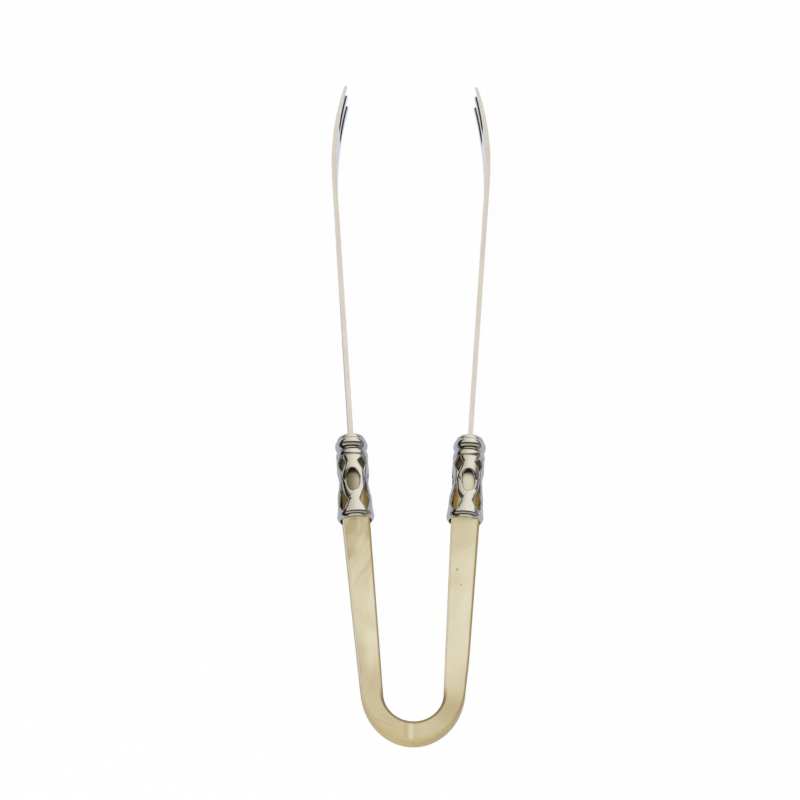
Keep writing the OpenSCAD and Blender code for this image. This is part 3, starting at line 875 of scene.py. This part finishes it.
def studio_table():
    """White to the camera with the tongs' faint shadow, pale and cool in the silver."""
    material, _, place = new_material("table")
    tree = material.node_tree
    path = tree.nodes.new("ShaderNodeLightPath")
    seen, glossy, clear = (Signal(tree, path.outputs[f"Is {kind} Ray"])
                           for kind in ("Camera", "Glossy", "Transmission"))
    x, y = place.axes("XY")
    reflected = (0 - x).ease(70, 150).tint(TABLE_GLOSS, TABLE_FAR)
    reflected = y.ease(30, 80).tint(reflected, TABLE_UNDER_FORKS)
    shown = place.node("ShaderNodeEmission", None, {"Color": seen.tint(reflected, WHITE)})
    plain = place.node("ShaderNodeBsdfDiffuse", None, {"Color": TABLE_WHITE})
    direct = seen * TABLE_GLOW + glossy * TABLE_MIRROR + clear * TABLE_MIRROR
    mixed = place.node("ShaderNodeMixShader", None, {0: direct, 1: plain, 2: shown})
    tree.links.new(mixed.socket, tree.nodes["Material Output"].inputs["Surface"])
    return material


bm = bmesh.new()
table_lean = math.atan2(bend_low.z, FORK_REST_Y - bend_low.y)
table_foot = Vector((0, FORK_REST_Y, -TABLE_GAP)) * MM
table_place = Matrix.Translation(table_foot) @ Matrix.Rotation(-table_lean, 4, "X")
bmesh.ops.create_grid(bm, x_segments=1, y_segments=1, size=TABLE_HALF, matrix=table_place)
mesh = bpy.data.meshes.new("table")
bm.to_mesh(mesh)
bm.free()
mesh.materials.append(studio_table())
table = bpy.data.objects.new("table", mesh)
bpy.context.collection.objects.link(table)

SKY = colour(252, 249, 238)
DIM_SKY = colour(204, 199, 178)
CEILING = colour(176, 171, 154)
BEAM = colour(78, 72, 62)
WINDOW = colour(236, 233, 222)
DARK_BAND = colour(32, 28, 24)
NEAR_WALL = colour(215, 212, 195)
LEFT_WALL = colour(30, 28, 26)
RIGHT_WALL = colour(122, 120, 122)
# Bands over the ceiling: where each starts and ends, how soft its edges are, and its colour
BANDS = ((-0.33, 0.07, 0.04, BEAM), (0.37, 0.43, 0.02, WINDOW), (0.45, 0.76, 0.03, DARK_BAND))

world = bpy.data.worlds.new("studio")
bpy.context.scene.world = world
world.use_nodes = True
tree = world.node_tree
way = Signal(tree, tree.nodes.new("ShaderNodeTexCoord").outputs["Generated"])
x, y, z = way.axes("XYZ")
camera_ray = way.node("ShaderNodeLightPath", output="Is Camera Ray")
# From the far side to the near one: bright sky, the beam, a dim ceiling, the window, the dark
# band and a pale wall
near = 0.12 * x * x - y + 0.06 * (way.noise(way, 3.0) - 0.5)
sky = x.ease(-0.8, 0.35).tint(DIM_SKY, SKY)
around = near.ease(-0.3, -0.25).tint(sky, CEILING)
for low, high, soft, shade in BANDS:
    band = near.ease(low - soft, low + soft) * (1 - near.ease(high - soft, high + soft))
    around = band.tint(around, shade)
around = near.ease(0.76, 0.84).tint(around, NEAR_WALL)
wall = (0 - x).ease(-0.05, 0.5).tint(RIGHT_WALL, LEFT_WALL)
beside = (1 - z.ease(0.3, 0.46)) * x.sum("ABSOLUTE", x).ease(0.35, 0.6)
around = beside.tint(around, wall)
way.fill(tree.nodes["Background"], {"Color": camera_ray.tint(around, WHITE), "Strength": 1.0})

KEY_SIZE = 1.2
KEY_POWER = 18.4
KEY_PLACE = Vector((-0.3, -0.5, 1.6))

lamp = bpy.data.lights.new("key", "AREA")
lamp.shape = "DISK"
lamp.size = KEY_SIZE
lamp.energy = KEY_POWER
lamp.color = SKY[:3]
key = bpy.data.objects.new("key", lamp)
key.location = KEY_PLACE
key.rotation_euler = KEY_PLACE.to_track_quat("Z", "Y").to_euler()
key.visible_glossy = False
bpy.context.collection.objects.link(key)

# Camera
# A long lens, looking down on the tongs from above the handle, as in the photograph.
# It stands far off, so that the near end and the far end show at nearly one scale.
CAMERA_FAR = 8000.0
AZIMUTH = math.radians(-3.647)
ELEVATION = math.radians(67.282)
ROLL = math.radians(4.062)
PIXELS_PER_MM = 2.796
FRAME_PIXELS = 800
ORIGIN_PIXEL = (409.6, 431.2)
SENSOR = 36.0

back = Vector((math.sin(AZIMUTH) * math.cos(ELEVATION), -math.cos(AZIMUTH) * math.cos(ELEVATION),
               math.sin(ELEVATION)))
level = Vector((math.cos(AZIMUTH), math.sin(AZIMUTH), 0))
upright = back.cross(level)
right = level * math.cos(ROLL) + upright * math.sin(ROLL)
top = upright * math.cos(ROLL) - level * math.sin(ROLL)
aim_right = (FRAME_PIXELS / 2 - ORIGIN_PIXEL[0]) / PIXELS_PER_MM
aim_up = (ORIGIN_PIXEL[1] - FRAME_PIXELS / 2) / PIXELS_PER_MM
lens = bpy.data.cameras.new("camera")
lens.sensor_width = SENSOR
lens.lens = PIXELS_PER_MM * CAMERA_FAR * SENSOR / FRAME_PIXELS
camera = bpy.data.objects.new("camera", lens)
stand = (back * CAMERA_FAR + right * aim_right + top * aim_up) * MM
camera.matrix_world = Matrix.Translation(stand) @ Matrix((right, top, back)).transposed().to_4x4()
bpy.context.collection.objects.link(camera)
bpy.context.scene.camera = camera
bpy.context.scene.view_settings.view_transform = "Standard"
